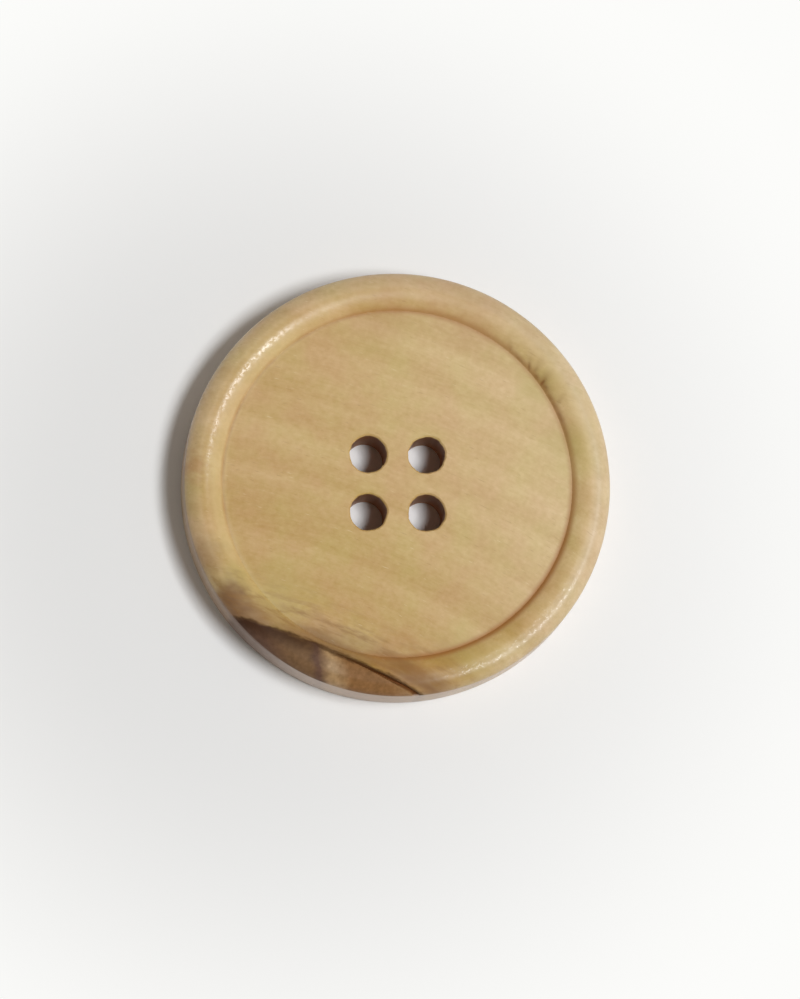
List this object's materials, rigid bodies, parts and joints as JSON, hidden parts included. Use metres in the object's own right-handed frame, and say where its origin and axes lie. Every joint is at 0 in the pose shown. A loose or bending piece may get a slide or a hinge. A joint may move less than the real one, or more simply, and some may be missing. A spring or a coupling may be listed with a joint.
{
  "type": "wooden sew-through button",
  "caption": "Turned wooden sew-through button with a raised rounded rim, a sunk flat face and thread holes at its centre; a natural dark check crosses the rim.",
  "frame": {"origin": "centre of the flat back, on the plane that the button rests on", "axes": "+Z along the turning axis out of the face, +X and +Y along the sides of the square of thread holes"},
  "size_m": [0.03, 0.03, 0.0045],
  "materials": {
    "wood": "clear satin varnish over pale straight-grained wood"
  },
  "bodies": {
    "root": {"button": "wood"}
  },
  "joints": []
}
